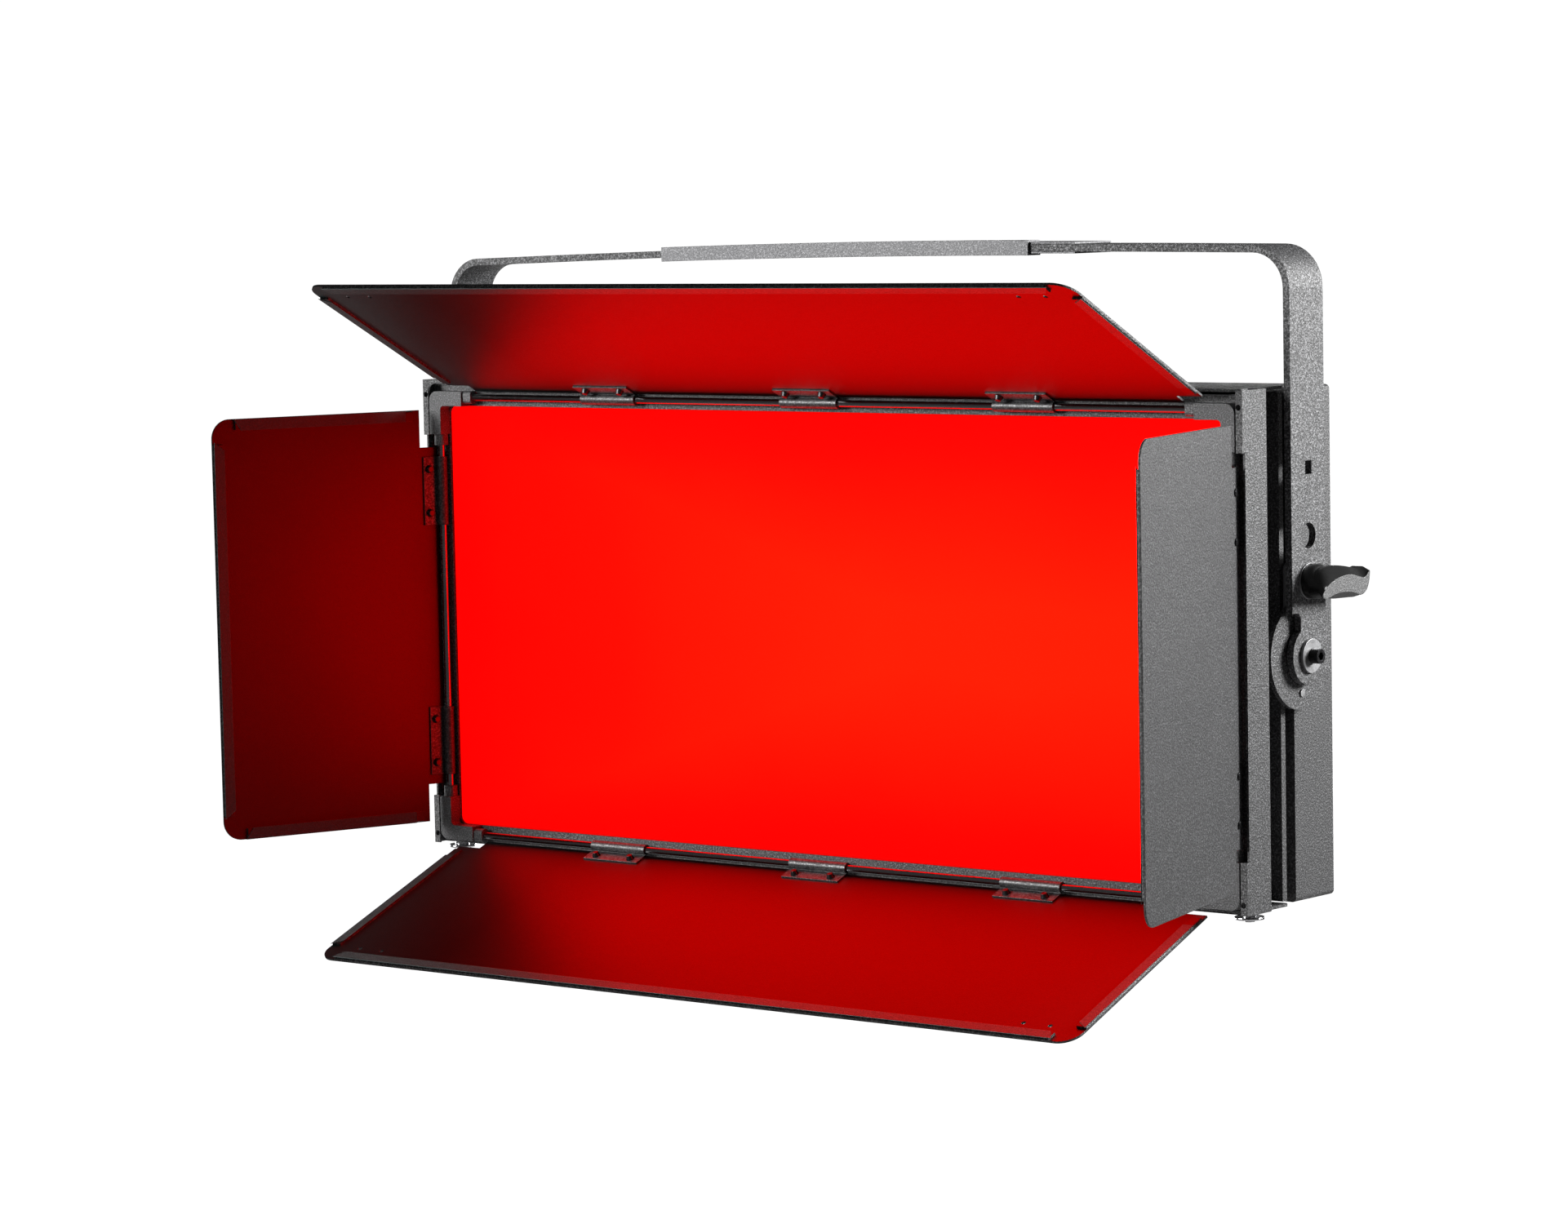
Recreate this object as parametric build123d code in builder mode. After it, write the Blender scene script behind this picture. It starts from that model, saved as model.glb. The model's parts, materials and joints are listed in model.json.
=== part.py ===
"""LED soft panel in a yoke, with four barn doors.

Millimetres, +Z up, the light faces -Y. The origin is the middle of the yoke bar's hanging bolt hole.
The head is laid out in its own coordinates: x from its middle, y back from the corner brackets' front
faces, z from its mid-height. HEAD_X, HEAD_Y and HEAD_Z carry them into the part's frame.
"""
import os
from math import atan, cos, radians, sin, sqrt

from build123d import *

# ---- driving dimensions -------------------------------------------------------------------------
# yoke: one bent flat bar
STRAP_W = 40.0
STRAP_T = 5.0
YOKE_HALF = 369.75  # from the bolt hole to each arm's mid-plane
BEND_R = 28.5  # outside radius of the two bends
BAR_DROP_LEFT = 7.7  # how far the bowed bar's ends hang below its middle
BAR_DROP_RIGHT = 1.7
BOW_R = 13060.0
BAR_PEAK = 2.4  # the bow's rounded middle lies this far under the point where its two slopes meet
ARM_END_R = 19.5
NECK_W = 20.0
NECK_TOP = 29.0
NECK_R = 4.5
LOCK_HOLE_Z = 49.5  # heights above the pivot
ROUND_HOLE_Z = 79.5
SQUARE_HOLE_Z = 124.5
ARM_HOLE_R = 8.5
SQUARE_HOLE = 9.0
YOKE_BOLT_R = 6.5
CLAMP_BOLT_R = 5.25
CLAMP_BOLT_X = (-80.0, 80.0)
RIVET_R = 2.0
RIVET_X = (-110.0, 110.0)
RIVET_Y = -13.0

# head placement
HEAD_X = YOKE_HALF - 350.0
HEAD_Y = -87.0
HEAD_Z = -264.4
PIVOT_Y = 87.0
PIVOT_Z = -5.5
PIVOT_R = 5.0

# front frame and brackets
FRAME_X = 359.5
FRAME_TOP = 173.5
FRAME_BOTTOM = -168.0
FRAME_DEPTH = 30.0
PLATE_Y = 10.0
PLATE_TOP = 170.0
LIP_Z = 133.0
FACE_X = 358.4
FACE_BOTTOM = -167.0
FACE_T = 2.0
FOLD_X = 345.0
FRAME_R = 2.8
WALL_FRONT = 3.0  # the side walls' front edge between the lips
LIP_X = 354.5
LIP_HOLE_X = 356.6
LIP_HOLE_R = 1.9
APERTURE_X = 342.8
APERTURE_Z = 154.3
BRACKET_X = 353.5
BRACKET_Z = 165.0
BRACKET_ARM = 31.5
BRACKET_D = 9.8
BOSS_L = 8.0

# body
BODY_X = 338.0
WALL_X = 327.0
BODY_FRONT = 30.4
BODY_TOP = 172.8
BODY_H = 338.0
BODY_END = 89.8
RIB_Y = 74.0
RIB_T = 5.0
COVER_Y = 90.0
COVER_BACK = 137.5
COVER_Z = 171.5
COVER_T = 1.5

# doors
ROD_R = 2.5
ROD_Y = 5.1
ROD_Z = 160.7
SIDE_ROD_X = 347.7
SIDE_ROD_Y = 5.7
LONG_DOOR = (662.0, 176.5)  # along its rod, out from its rod
SIDE_DOOR = (303.0, 184.0)
TOP_ANGLE = 117.6  # 0 lies flat across the front, 90 points straight forward
BOTTOM_ANGLE = 112.1
LEFT_ANGLE = 108.2
RIGHT_ANGLE = 104.6
SHEET = 1.5
DOOR_OUT = -5.3  # the sheet's outer face, measured from the rod's axis
HEM_W = 8.0
DOOR_R = 14.0
CLIP_L = 50.0
CLIP_R = 3.8
CLIP_BORE = 2.58
CLIP_LEAF = 14.0
SCREW_SPACING = 32.0

FIT = 0.06  # radial clearance of pins in their holes


def level(z):
    """A horizontal plane of the head: sketches use (x, y)."""
    return Plane(origin=(HEAD_X, HEAD_Y, HEAD_Z + z), x_dir=(1, 0, 0), z_dir=(0, 0, 1))


def facing(y):
    """A plane of the head that faces forward: sketches use (x, z), extrusions run to the front."""
    return Plane(origin=(HEAD_X, HEAD_Y + y, HEAD_Z), x_dir=(1, 0, 0), z_dir=(0, -1, 0))


def side(x):
    """A plane of the head that faces right: sketches use (y, z), extrusions run to the right."""
    return Plane(origin=(HEAD_X + x, HEAD_Y, HEAD_Z), x_dir=(0, 1, 0), z_dir=(1, 0, 0))


def along(plane, centre=(0.0, 0.0), height=0.0):
    """The same plane with its origin moved within itself and lifted."""
    return Plane(origin=plane.from_local_coords((*centre, height)), x_dir=plane.x_dir, z_dir=plane.z_dir)


def plate(plane, width, height, thick, centre=(0.0, 0.0), corner=0.0, mode=Mode.ADD):
    """A rectangular plate, with rounded corners if asked."""
    with BuildSketch(plane) as outline:
        with Locations(centre):
            if corner:
                RectangleRounded(width, height, corner)
            else:
                Rectangle(width, height)
    extrude(outline.sketch, amount=thick, mode=mode)


def disc(plane, radius, thick, centre=(0.0, 0.0), mode=Mode.ADD):
    """A round plate or, with Mode.SUBTRACT, a hole."""
    with BuildSketch(plane) as outline:
        with Locations(centre):
            Circle(radius)
    extrude(outline.sketch, amount=thick, mode=mode)


def ring(plane, outer, inner, thick, centre=(0.0, 0.0)):
    """A flat ring."""
    with BuildSketch(plane) as outline:
        with Locations(centre):
            Circle(outer)
            Circle(inner, mode=Mode.SUBTRACT)
    extrude(outline.sketch, amount=thick)


def save(builder, name):
    """Labels a finished piece and writes its STEP file."""
    builder.part.label = name
    export_step(builder.part, f"parts/{name}.step")


os.makedirs("parts", exist_ok=True)


# ---- yoke ---------------------------------------------------------------------------------------
def strap_edge(inset):
    """One edge of the bent bar, seen from the front, inset from its outer edge."""
    reach = YOKE_HALF + STRAP_T / 2 - inset
    top = STRAP_T / 2 - inset
    foot = HEAD_Z + PIVOT_Z - ARM_END_R - 1
    corners = [
        (-reach, foot),
        (-reach, top - BAR_DROP_LEFT),
        (0, top + BAR_PEAK),
        (reach, top - BAR_DROP_RIGHT),
        (reach, foot),
    ]
    return FilletPolyline(*corners, radius=[BEND_R - inset, BOW_R, BEND_R - inset])


def bar_holes():
    """The bolt and rivet holes down through the bar and its channels."""
    under = Plane.XY.offset(-10)
    disc(under, YOKE_BOLT_R, 20, mode=Mode.SUBTRACT)
    for bolt_x in CLAMP_BOLT_X:
        disc(under, CLAMP_BOLT_R, 20, centre=(bolt_x, 0), mode=Mode.SUBTRACT)
    for rivet_x in RIVET_X:
        disc(under, RIVET_R + FIT, 20, centre=(rivet_x, RIVET_Y), mode=Mode.SUBTRACT)


with BuildPart() as yoke_strap:
    with BuildSketch(Plane.XZ.offset(-STRAP_W / 2)):
        with BuildLine():
            outer_edge = strap_edge(0)
            inner_edge = strap_edge(STRAP_T)
            Line(outer_edge @ 0, inner_edge @ 0)
            Line(outer_edge @ 1, inner_edge @ 1)
        make_face()
    extrude(amount=STRAP_W)
    arm_view = Plane(origin=(-YOKE_HALF - 10, 0, HEAD_Z + PIVOT_Z), x_dir=(0, 1, 0), z_dir=(1, 0, 0))
    across = 2 * YOKE_HALF + 20
    with BuildSketch(arm_view) as arm_outline:
        Circle(ARM_END_R)
        with Locations((0, NECK_TOP / 2)):
            Rectangle(NECK_W, NECK_TOP)
        with Locations((0, NECK_TOP + 150)):
            Rectangle(STRAP_W, 300)
        shoulder = [v for v in arm_outline.vertices() if abs(v.Y - NECK_TOP) < 1 and abs(v.X) < NECK_W]
        fillet(shoulder, radius=NECK_R)
    extrude(arm_outline.sketch, amount=across, mode=Mode.INTERSECT)
    disc(arm_view, PIVOT_R + FIT, across, mode=Mode.SUBTRACT)
    disc(arm_view, ARM_HOLE_R, across, centre=(0, ROUND_HOLE_Z), mode=Mode.SUBTRACT)
    plate(arm_view, SQUARE_HOLE, SQUARE_HOLE, across, centre=(0, SQUARE_HOLE_Z), mode=Mode.SUBTRACT)
    right_arm_view = Plane(origin=(0, 0, HEAD_Z + PIVOT_Z), x_dir=(0, 1, 0), z_dir=(1, 0, 0))
    disc(right_arm_view, 4 + FIT, across, centre=(0, LOCK_HOLE_Z), mode=Mode.SUBTRACT)
    bar_holes()
save(yoke_strap, "yoke_strap")

# two thin channels close round the bar's middle, one from the back and one from the front
SLEEVE_T = 1.2
SLEEVE_Y = 22.0
REAR_SPAN = (-125.0, 201.0)
REAR_FLANGE = 3.85  # outer faces, above and below the bar's mid-surface
FRONT_SPAN = (-163.0, 163.0)
FRONT_FLANGE = 5.15
FRONT_DEPTH = 14.5
SLOPE_LEFT = atan((BAR_DROP_LEFT + BAR_PEAK) / YOKE_HALF)
SLOPE_RIGHT = atan((BAR_DROP_RIGHT + BAR_PEAK) / YOKE_HALF)
BOW_TILT = (SLOPE_LEFT - SLOPE_RIGHT) / 2
BOW_REACH = BOW_R / cos((SLOPE_LEFT + SLOPE_RIGHT) / 2)


def bow(x):
    """Height of the bar's mid-surface."""
    return BAR_PEAK - BOW_REACH * cos(BOW_TILT) + sqrt(BOW_R**2 - (x - BOW_REACH * sin(BOW_TILT)) ** 2)


def bowed_strip(span, low, high, front, back):
    """A strip that follows the bar between two heights over its mid-surface."""
    stations = (span[0], sum(span) / 2, span[1])
    with BuildSketch(Plane.XZ.offset(-back)) as strip:
        with BuildLine():
            lower = ThreePointArc(*[(x, bow(x) + low) for x in stations])
            upper = ThreePointArc(*[(x, bow(x) + high) for x in stations])
            Line(lower @ 0, upper @ 0)
            Line(lower @ 1, upper @ 1)
        make_face()
    extrude(strip.sketch, amount=back - front)


with BuildPart() as sleeve_rear:
    bowed_strip(REAR_SPAN, REAR_FLANGE - SLEEVE_T, REAR_FLANGE, -STRAP_W / 2, SLEEVE_Y)
    bowed_strip(REAR_SPAN, -REAR_FLANGE, SLEEVE_T - REAR_FLANGE, -STRAP_W / 2, SLEEVE_Y)
    bowed_strip(REAR_SPAN, -REAR_FLANGE, REAR_FLANGE, SLEEVE_Y - SLEEVE_T, SLEEVE_Y)
    bar_holes()
save(sleeve_rear, "sleeve_rear")

with BuildPart() as sleeve_front:
    back = FRONT_DEPTH - SLEEVE_Y
    bowed_strip(FRONT_SPAN, FRONT_FLANGE - SLEEVE_T, FRONT_FLANGE, -SLEEVE_Y, back)
    bowed_strip(FRONT_SPAN, -FRONT_FLANGE, SLEEVE_T - FRONT_FLANGE, -SLEEVE_Y, back)
    bowed_strip(FRONT_SPAN, -FRONT_FLANGE, FRONT_FLANGE, -SLEEVE_Y, SLEEVE_T - SLEEVE_Y)
    bar_holes()
save(sleeve_front, "sleeve_front")

with BuildPart() as sleeve_rivets:
    for rivet_x in RIVET_X:
        foot = bow(rivet_x) - FRONT_FLANGE
        disc(Plane.XY.offset(foot), RIVET_R, 2 * FRONT_FLANGE, centre=(rivet_x, RIVET_Y))
save(sleeve_rivets, "sleeve_rivets")

# ---- tilt lock: a handle draws a shoe against the friction disc's rim ---------------------------
ARM_IN = 347.5
ARM_OUT = 352.5
SCREW_FOOT = 338.4
SHOE_T = 3.2
WING_FOOT = 358.0
LOCK_Z = PIVOT_Z + LOCK_HOLE_Z
lock_centre = (PIVOT_Y, LOCK_Z)
LOCK_SCREW_R = 4.0
HUB_END = 370.5
WING_END = 380.0

with BuildPart() as clamp_shoe:
    plate(side(SCREW_FOOT + 1), 22, 38, SHOE_T, centre=(PIVOT_Y, LOCK_Z - 6.5), corner=5)
    shoe_out = SCREW_FOOT + 1 + SHOE_T
    plate(side(shoe_out), 22, 14, ARM_IN - shoe_out, centre=(PIVOT_Y, LOCK_Z + 4), corner=3)
    disc(side(330), LOCK_SCREW_R + FIT, 25, centre=lock_centre, mode=Mode.SUBTRACT)
save(clamp_shoe, "clamp_shoe")

with BuildPart() as lock_washer:
    ring(side(ARM_OUT), 12, LOCK_SCREW_R + FIT, 1.2, centre=lock_centre)
save(lock_washer, "lock_washer")

with BuildPart() as lock_screw:
    disc(side(SCREW_FOOT), 6.5, 0.95, centre=lock_centre)
    disc(side(SCREW_FOOT), LOCK_SCREW_R, HUB_END - 1 - SCREW_FOOT, centre=lock_centre)
save(lock_screw, "lock_screw")


def wing_outline(rise):
    """The handle's S-curved upper or lower edge, in (y, z) from the screw's axis."""
    return Spline((-15.5, -8 + rise), (-2, -1 + rise), (14, 1 + rise), (29, -3 + rise), (41, -1 + rise))


lock_plane = along(side(0), lock_centre)
with BuildPart() as lock_handle:
    with BuildSketch(lock_plane.offset(354.0)) as hub_root:
        Circle(11.5)
    with BuildSketch(lock_plane.offset(HUB_END)) as hub_end:
        Circle(10.5)
    loft([hub_root.sketch, hub_end.sketch])
    fillet(edges().sort_by(Axis.X)[-1:], radius=4)
    with BuildSketch(lock_plane.offset(WING_FOOT)) as wing_face:
        with BuildLine():
            lower = wing_outline(-4.4)
            upper = wing_outline(4.2)
            Line(lower @ 0, upper @ 0)
            Line(lower @ 1, upper @ 1)
        make_face()
        with Locations((38, 4.5)):
            Rectangle(6, 6, rotation=-14)
    extrude(wing_face.sketch, amount=WING_END - WING_FOOT)
    disc(side(350), LOCK_SCREW_R + FIT, HUB_END - 0.8 - 350, centre=lock_centre, mode=Mode.SUBTRACT)
save(lock_handle, "lock_handle")

# ---- head: front frame, brackets and rods -------------------------------------------------------
LATCH_X = 349.0
LATCH_Y = 18.0

with BuildPart() as front_frame:
    face_middle = (0, (PLATE_TOP + FACE_BOTTOM) / 2)
    plate(facing(PLATE_Y + FACE_T), 2 * FACE_X, PLATE_TOP - FACE_BOTTOM, FACE_T, centre=face_middle)
    for hand in (-1, 1):
        with BuildSketch(level(FRAME_BOTTOM)) as channel:
            with BuildLine():
                Polyline(
                    (hand * FRAME_X, 0),
                    (hand * FRAME_X, FRAME_DEPTH),
                    (hand * FOLD_X, FRAME_DEPTH),
                    (hand * FOLD_X, FRAME_DEPTH - SHEET),
                    (hand * (FRAME_X - SHEET), FRAME_DEPTH - SHEET),
                    (hand * (FRAME_X - SHEET), 0),
                    close=True,
                )
            make_face()
            back_corner = [v for v in channel.vertices() if v.Y > FRAME_DEPTH - 1]
            outer_corner = [v for v in back_corner if abs(v.X) > FRAME_X - 1]
            fillet(outer_corner, radius=FRAME_R)
        extrude(channel.sketch, amount=FRAME_TOP - FRAME_BOTTOM)
        plate(facing(WALL_FRONT), 12, 2 * LIP_Z, 20, centre=(hand * 356, 0), mode=Mode.SUBTRACT)
        for low, high in ((FRAME_BOTTOM, -LIP_Z), (LIP_Z, FRAME_TOP)):
            middle = (hand * (LIP_X + FRAME_X) / 2, (low + high) / 2)
            plate(facing(SHEET), FRAME_X - LIP_X, high - low, SHEET, centre=middle)
        for hole_z in (FRAME_BOTTOM + 7, FRAME_TOP - 11):
            disc(facing(3), LIP_HOLE_R, 6, centre=(hand * LIP_HOLE_X, hole_z), mode=Mode.SUBTRACT)
    plate(level(FRAME_BOTTOM), 2 * FACE_X, FRAME_DEPTH - PLATE_Y, SHEET, centre=(0, 20))
    plate(facing(FRAME_DEPTH), 2 * FOLD_X + 0.4, 12, SHEET, centre=(0, FRAME_BOTTOM + 6))
    opening = (2 * APERTURE_X, 2 * APERTURE_Z)
    plate(facing(PLATE_Y + 3), *opening, 6, corner=6, mode=Mode.SUBTRACT)
    for hand in (-1, 1):
        disc(level(FRAME_BOTTOM - 1), 2.5 + FIT, 4, centre=(hand * LATCH_X, LATCH_Y), mode=Mode.SUBTRACT)
save(front_frame, "front_frame")

for across_name, hand in (("left", -1), ("right", 1)):
    for height_name, up in (("top", 1), ("bottom", -1)):
        arm_w = BRACKET_X - APERTURE_X
        inner_x = BRACKET_X - BRACKET_ARM
        inner_z = BRACKET_Z - BRACKET_ARM
        with BuildPart() as bracket:
            with BuildSketch(facing(BRACKET_D)) as ell:
                with Locations((hand * (BRACKET_X - BRACKET_ARM / 2), up * (BRACKET_Z - arm_w / 2))):
                    Rectangle(BRACKET_ARM, arm_w)
                with Locations((hand * (BRACKET_X - arm_w / 2), up * (BRACKET_Z - BRACKET_ARM / 2))):
                    Rectangle(arm_w, BRACKET_ARM)
                outer = [v for v in ell.vertices() if abs(v.X) + abs(v.Y) > BRACKET_X + BRACKET_Z - 1]
                fillet(outer, radius=7)
                inner_reach = APERTURE_X + BRACKET_Z - arm_w
                inner = [v for v in ell.vertices() if abs(abs(v.X) + abs(v.Y) - inner_reach) < 0.1]
                inner = [v for v in inner if abs(abs(v.X) - APERTURE_X) < 0.1]
                fillet(inner, radius=3)
            extrude(ell.sketch, amount=BRACKET_D)
            plate(
                side(hand * (inner_x + 1) if hand < 0 else inner_x - BOSS_L),
                7.6, 9.2, BOSS_L + 1, centre=(ROD_Y, up * ROD_Z), corner=2.5,
            )
            plate(
                level(up * (inner_z + 1) if up < 0 else inner_z - BOSS_L),
                9.2, 7.6, BOSS_L + 1, centre=(hand * SIDE_ROD_X, SIDE_ROD_Y), corner=2.5,
            )
            rod_end = 338.0
            disc(
                side(-rod_end if hand < 0 else 300), ROD_R + 0.02, rod_end - 300,
                centre=(ROD_Y, up * ROD_Z), mode=Mode.SUBTRACT,
            )
            disc(
                level(-149 if up < 0 else 110), ROD_R + 0.02, 39,
                centre=(hand * SIDE_ROD_X, SIDE_ROD_Y), mode=Mode.SUBTRACT,
            )
        save(bracket, f"bracket_{height_name}_{across_name}")

with BuildPart() as hinge_rods:
    for hand in (-1, 1):
        disc(side(-337.5), ROD_R, 675, centre=(ROD_Y, hand * ROD_Z))
        disc(level(-148.5), ROD_R, 297, centre=(hand * SIDE_ROD_X, SIDE_ROD_Y))
save(hinge_rods, "hinge_rods")

for name, hand in (("latch_knob_left", -1), ("latch_knob_right", 1)):
    with BuildPart() as latch_knob:
        knob_at = (hand * LATCH_X, LATCH_Y)
        disc(level(-170.6), 5.2, 2.3, centre=knob_at)
        disc(level(-172.6), 10, 2, centre=knob_at)
        fillet(latch_knob.edges().filter_by(GeomType.CIRCLE).sort_by(SortBy.RADIUS)[-2:], radius=0.8)
        disc(level(-174.2), 3.6, 1.6, centre=knob_at)
        disc(level(-172), 2.5, 8, centre=knob_at)
        plate(level(-165.9), 4.6, 9, 1.6, centre=knob_at, corner=1)
    save(latch_knob, name)


# ---- barn doors ---------------------------------------------------------------------------------
def door_plane(rod_centre, inward, angle):
    """The door's plane: x along the rod, y out from it, z towards the lit side."""
    turn = radians(angle)
    outward = Vector(*inward) * cos(turn) + Vector(0, -1, 0) * sin(turn)
    lit_side = Vector(0, 1, 0) * cos(turn) + Vector(*inward) * sin(turn)
    origin = Vector(HEAD_X, HEAD_Y, HEAD_Z) + Vector(*rod_centre)
    return Plane(origin=origin, x_dir=outward.cross(lit_side), z_dir=lit_side)


def hem(plane, start, direction, length):
    """A folded edge: a doubled strip with a rounded outer edge, run along one side of the sheet."""
    inner = DOOR_OUT + 2 * SHEET
    half = SHEET
    run = Plane(
        origin=plane.from_local_coords((*start, 0)),
        x_dir=plane.x_dir * direction[1] * -1 + plane.y_dir * direction[0],
        z_dir=plane.x_dir * direction[0] + plane.y_dir * direction[1],
    )
    flip = 1 if run.y_dir.dot(plane.z_dir) > 0 else -1
    with BuildSketch(run) as section:
        with BuildLine():
            Polyline(
                (-half, flip * DOOR_OUT), (-HEM_W, flip * DOOR_OUT),
                (-HEM_W, flip * inner), (-half, flip * inner),
            )
            ThreePointArc(
                (-half, flip * inner), (0, flip * (DOOR_OUT + half)), (-half, flip * DOOR_OUT)
            )
        make_face()
    extrude(section.sketch, amount=length)


def door_sheet(plane, size, notch, tab_half, holes):
    """The door's leaf: a sheet with rounded outer corners and three hems."""
    width, depth = size
    inset = DOOR_R + 4
    with BuildPart() as leaf:
        with BuildSketch(plane.offset(DOOR_OUT)) as outline:
            with Locations((0, (notch + depth) / 2)):
                Rectangle(width, depth - notch)
            far = [v for v in outline.vertices() if v.Y > depth - 1]
            fillet(far, radius=DOOR_R)
            with Locations((0, notch / 2 + 1.5)):
                Rectangle(2 * tab_half, notch - 1)
        extrude(outline.sketch, amount=SHEET)
        hem(plane, (-width / 2 + inset, depth), (1, 0), width - 2 * inset)
        hem(plane, (-width / 2, notch + 6), (0, 1), depth - notch - 6 - inset)
        hem(plane, (width / 2, depth - inset), (0, -1), depth - notch - 6 - inset)
        for hole_x, hole_y in holes:
            disc(plane.offset(DOOR_OUT - 1), 1.6, 4, centre=(hole_x, hole_y), mode=Mode.SUBTRACT)
    return leaf


def door_clips(plane, places):
    """Hinge clips: each a leaf on the door's lit face with a barrel round the rod."""
    with BuildPart() as clips:
        for place in places:
            barrel = Plane(
                origin=plane.from_local_coords((place - CLIP_L / 2, 0, 0)),
                x_dir=plane.y_dir, z_dir=plane.x_dir,
            )
            with BuildSketch(barrel) as end_view:
                Circle(CLIP_R)
            extrude(end_view.sketch, amount=CLIP_L)
            leaf_middle = (place, CLIP_LEAF / 2)
            plate(plane.offset(-CLIP_R), CLIP_L, CLIP_LEAF, 1.2, centre=leaf_middle)
            with BuildSketch(barrel.offset(-1)) as bore:
                Circle(CLIP_BORE)
            extrude(bore.sketch, amount=CLIP_L + 2, mode=Mode.SUBTRACT)
            for hand in (-1, 1):
                screw_at = (place + hand * SCREW_SPACING / 2, 9.5)
                disc(plane.offset(-CLIP_R - 1), 1.6, 4, centre=screw_at, mode=Mode.SUBTRACT)
    return clips


def door_screws(plane, places):
    """The screws that hold the clips, each with a domed head inside and a flat head outside."""
    with BuildPart() as screws:
        for place in places:
            for hand in (-1, 1):
                screw_at = (place + hand * SCREW_SPACING / 2, 9.5)
                disc(plane.offset(DOOR_OUT - 1), 2.5, 1, centre=screw_at)
                disc(plane.offset(DOOR_OUT - 0.5), 1.5, 4, centre=screw_at)
                with BuildSketch(along(plane, screw_at, 1.2 - CLIP_R)) as head_root:
                    Circle(3.1)
                with BuildSketch(along(plane, screw_at, 4.2 - CLIP_R)) as head_top:
                    Circle(2.0)
                loft([head_root.sketch, head_top.sketch])
    return screws


LONG_CLIPS = (-183.0, 0.0, 183.0)
SIDE_CLIPS = (-92.0, 92.0)
corner_holes = [
    (hand * (LONG_DOOR[0] / 2 - off), LONG_DOOR[1] - 17) for hand in (-1, 1) for off in (28, 49)
]
DOORS = {
    "top": (door_plane((0, ROD_Y, ROD_Z), (0, 0, -1), TOP_ANGLE), LONG_DOOR, 12, 311, corner_holes),
    "bottom": (door_plane((0, ROD_Y, -ROD_Z), (0, 0, 1), BOTTOM_ANGLE), LONG_DOOR, 12, 311, corner_holes),
    "left": (door_plane((-SIDE_ROD_X, SIDE_ROD_Y, 0), (1, 0, 0), LEFT_ANGLE), SIDE_DOOR, 16, 124, []),
    "right": (door_plane((SIDE_ROD_X, SIDE_ROD_Y, 0), (-1, 0, 0), RIGHT_ANGLE), SIDE_DOOR, 16, 124, []),
}
for name, (plane, size, notch, tab_half, holes) in DOORS.items():
    places = LONG_CLIPS if size is LONG_DOOR else SIDE_CLIPS
    screw_holes = [(p + hand * SCREW_SPACING / 2, 9.5) for p in places for hand in (-1, 1)]
    leaf = door_sheet(plane, size, notch, tab_half, holes + screw_holes)
    save(leaf, f"door_{name}")
    save(door_clips(plane, places), f"door_{name}_clips")
    save(door_screws(plane, places), f"door_{name}_screws")

# ---- light engine -------------------------------------------------------------------------------
DIFFUSER_SIZE = (704.0, 322.0)
DIFFUSER_Y = 12.3
with BuildPart() as diffuser:
    plate(facing(DIFFUSER_Y + 3), *DIFFUSER_SIZE, 3, corner=3)
save(diffuser, "diffuser")

with BuildPart() as diffuser_frame:
    plate(facing(DIFFUSER_Y + 15.3), *DIFFUSER_SIZE, 12, corner=3)
    plate(facing(DIFFUSER_Y + 16), 676, 298, 13, corner=3, mode=Mode.SUBTRACT)
save(diffuser_frame, "diffuser_frame")

with BuildPart() as mixing_box:
    plate(facing(58.5), 644, 326, 24)
    plate(facing(59.0), 642, 324, 25, mode=Mode.SUBTRACT)
save(mixing_box, "mixing_box")

LED_PITCH_X = 48.0
LED_PITCH_Z = 46.0
with BuildPart() as led_board:
    plate(facing(62.0), 632, 320, 2)
save(led_board, "led_board")

with BuildPart() as led_emitters:
    with BuildSketch(facing(60.0)) as chips:
        with GridLocations(LED_PITCH_X, LED_PITCH_Z, 12, 6):
            Rectangle(6, 6)
    extrude(chips.sketch, amount=1.4)
save(led_emitters, "led_emitters")

FIN_PITCH = 22.0
with BuildPart() as heat_sink:
    plate(facing(66.2), 620, 300, 4)
    with BuildSketch(facing(66.2)) as fins:
        with GridLocations(FIN_PITCH, 0, 28, 1):
            Rectangle(2, 296)
    extrude(fins.sketch, amount=-18)
save(heat_sink, "heat_sink")

with BuildPart() as chassis_plate:
    plate(facing(88.0), 640, 324, 1.5)
save(chassis_plate, "chassis_plate")

SUPPLY = (-190.0, 30.0)
SUPPLY_W = 220.0
SUPPLY_H = 112.0
SUPPLY_D = 42.0
SUPPLY_BACK = 132.0
with BuildPart() as power_supply:
    supply_size = (SUPPLY_W, SUPPLY_H, SUPPLY_D)
    supply_inside = [extent - 2 * SHEET for extent in supply_size]
    plate(facing(SUPPLY_BACK), *supply_size, centre=SUPPLY)
    plate(facing(SUPPLY_BACK - SHEET), *supply_inside, centre=SUPPLY, mode=Mode.SUBTRACT)
    with BuildSketch(facing(SUPPLY_BACK)) as grille:
        with Locations(SUPPLY):
            with GridLocations(14, 0, 12, 1):
                SlotOverall(84, 4, rotation=90)
    extrude(grille.sketch, amount=2, mode=Mode.SUBTRACT)
save(power_supply, "power_supply")

with BuildPart() as driver_board:
    plate(facing(96.0), 240, 130, 1.6, centre=(170, 55))
    for coil_x in (90, 150, 210):
        disc(facing(110.0), 11, 14, centre=(coil_x, 60))
    plate(facing(118.0), 60, 20, 22, centre=(240, 20))
save(driver_board, "driver_board")

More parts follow.
